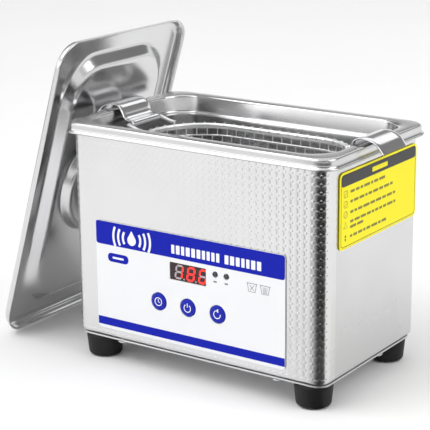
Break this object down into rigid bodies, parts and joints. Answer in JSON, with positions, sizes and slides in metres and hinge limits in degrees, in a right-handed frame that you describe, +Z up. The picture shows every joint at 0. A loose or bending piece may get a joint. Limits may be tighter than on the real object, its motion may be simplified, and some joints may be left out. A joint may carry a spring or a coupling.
{
  "type": "ultrasonic cleaner",
  "caption": "Benchtop ultrasonic cleaner with a stainless tank, embossed steel housing, front control panel, lift-out mesh basket and a loose pressed lid leaning on it.",
  "frame": {"origin": "centre of the whole object's footprint, on the table under the feet", "axes": "+X along the unit's length towards the free basket handle, with the lid at -X; -Y out of the control panel; +Z up"},
  "size_m": [0.2412, 0.1206, 0.184],
  "materials": {
    "polished_steel": "polished stainless pressing",
    "housing_steel": "satin stainless sheet, embossed on the front",
    "screw_steel": "zinc-plated",
    "rubber": "matte moulded rubber",
    "silicone": "soft grey seal",
    "overlay": "printed polycarbonate overlay",
    "lens": "smoked acrylic window",
    "led": "clear dark lamp",
    "button": "satin blue cap",
    "black_plastic": "moulded",
    "circuit_board": "solder mask",
    "label": "printed film",
    "aluminium": "machined",
    "ceramic": "fired, silvered faces",
    "brass": "rolled foil",
    "ferrite": "sintered core",
    "wire": "PVC insulation"
  },
  "bodies": {
    "unit": {"tank": "polished_steel", "housing_wrap": "housing_steel", "back_panel": "housing_steel", "base_plate": "housing_steel", "base_screw_1": "screw_steel", "base_screw_2": "screw_steel", "base_screw_3": "screw_steel", "base_screw_4": "screw_steel", "back_screw_1": "screw_steel", "back_screw_2": "screw_steel", "back_screw_3": "screw_steel", "back_screw_4": "screw_steel", "foot_screw_front_left": "screw_steel", "foot_screw_front_right": "screw_steel", "foot_screw_rear_left": "screw_steel", "foot_screw_rear_right": "screw_steel", "transducer_back_mass": "screw_steel", "transducer_bolt": "screw_steel", "foot_front_left": "rubber", "foot_front_right": "rubber", "foot_rear_left": "rubber", "foot_rear_right": "rubber", "flange_gasket": "silicone", "overlay_panel": "overlay", "display_lens": "lens", "status_led_1": "led", "status_led_2": "led", "display_module": "black_plastic", "tact_switch_time": "black_plastic", "tact_switch_power": "black_plastic", "tact_switch_reset": "black_plastic", "control_frame": "black_plastic", "mains_inlet": "black_plastic", "board_rail_left": "black_plastic", "board_rail_right": "black_plastic", "bulk_capacitor": "black_plastic", "control_board": "circuit_board", "generator_board": "circuit_board", "side_label": "label", "transducer_front_mass": "aluminium", "heat_sink": "aluminium", "piezo_ring_1": "ceramic", "piezo_ring_2": "ceramic", "electrode_1": "brass", "electrode_2": "brass", "output_transformer": "ferrite", "mains_cable": "wire", "transducer_lead": "wire", "control_cable": "wire"},
    "basket": {"basket_mesh": "polished_steel", "basket_rim": "polished_steel", "basket_hanger_left": "polished_steel", "basket_hanger_right": "polished_steel", "basket_handle_left": "polished_steel", "basket_handle_right": "polished_steel"},
    "lid": {"lid": "polished_steel", "lid_handle": "polished_steel"},
    "button_time": {"button_time": "button"},
    "button_power": {"button_power": "button"},
    "button_reset": {"button_reset": "button"}
  },
  "joints": [
    {"name": "basket_lift", "type": "slide", "parent": "unit", "child": "basket", "axis": [0.2924, 0, 0.9563], "range_m": [0, 0.08]},
    {"name": "lid_lift", "type": "slide", "parent": "unit", "child": "lid", "axis": [0, 0, 1], "range_m": [0, 0.15]},
    {"name": "button_time_press", "type": "slide", "parent": "unit", "child": "button_time", "axis": [0, 1, 0], "range_m": [0, 0.0005], "stiffness_N_per_m": 1200, "springref_m": -0.0006},
    {"name": "button_power_press", "type": "slide", "parent": "unit", "child": "button_power", "axis": [0, 1, 0], "range_m": [0, 0.0005], "stiffness_N_per_m": 1200, "springref_m": -0.0006},
    {"name": "button_reset_press", "type": "slide", "parent": "unit", "child": "button_reset", "axis": [0, 1, 0], "range_m": [0, 0.0005], "stiffness_N_per_m": 1200, "springref_m": -0.0006}
  ]
}
